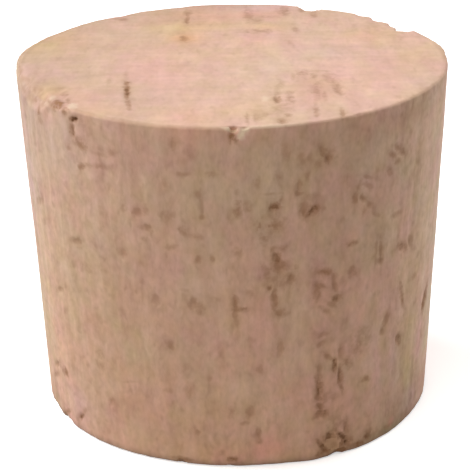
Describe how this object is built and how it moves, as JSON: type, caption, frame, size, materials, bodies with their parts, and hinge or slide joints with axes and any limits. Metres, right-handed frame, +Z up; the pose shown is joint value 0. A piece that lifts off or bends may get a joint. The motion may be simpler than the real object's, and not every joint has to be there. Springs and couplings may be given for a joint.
{
  "type": "cork stopper",
  "caption": "Tapered natural cork stopper, one solid plug with flat ends, open pores and a chipped rim.",
  "frame": {"origin": "centre of the narrow lower face, on the surface that the plug stands on", "axes": "+Z up along the axis of the plug, from the narrow face to the wide one; the front looks along -Y"},
  "size_m": [0.045, 0.045, 0.037],
  "materials": {
    "cork": "dry matt natural cork, cut faces left bare, with dark open pores"
  },
  "bodies": {
    "root": {"stopper": "cork"}
  },
  "joints": []
}
